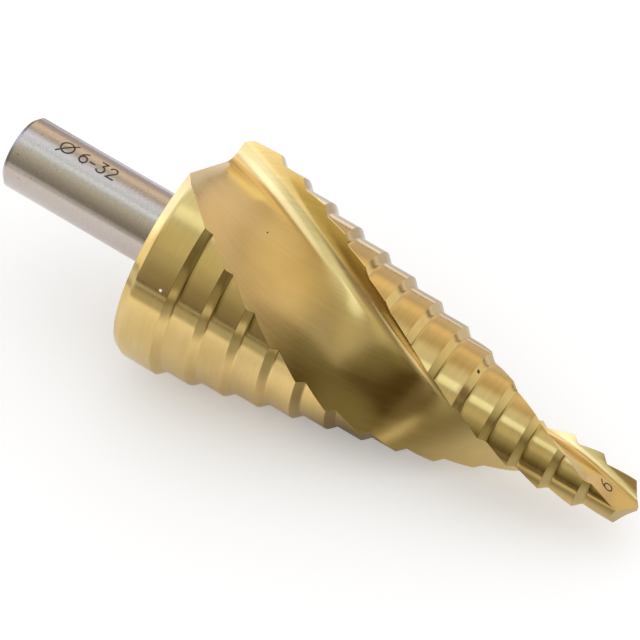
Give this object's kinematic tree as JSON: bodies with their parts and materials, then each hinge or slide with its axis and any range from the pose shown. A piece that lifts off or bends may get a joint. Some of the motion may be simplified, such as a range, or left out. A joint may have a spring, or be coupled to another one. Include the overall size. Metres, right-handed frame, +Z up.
{
  "type": "step drill",
  "caption": "Cone-shaped step drill with two spiral flutes, a coated head of rising steps and a plain round shank.",
  "frame": {"origin": "on the table under the middle of the drill's overall length and width", "axes": "+X along the table from the shank towards the point, +Z up; the drill lies on its lower flute, so its axis dips about 8 degrees towards the point"},
  "size_m": [0.0912, 0.032, 0.03],
  "materials": {
    "coated_steel": "ground tool steel with a gold coloured hard coating on the stepped head; the shank is left bare and bright"
  },
  "bodies": {
    "root": {"step_drill": "coated_steel"}
  },
  "joints": []
}
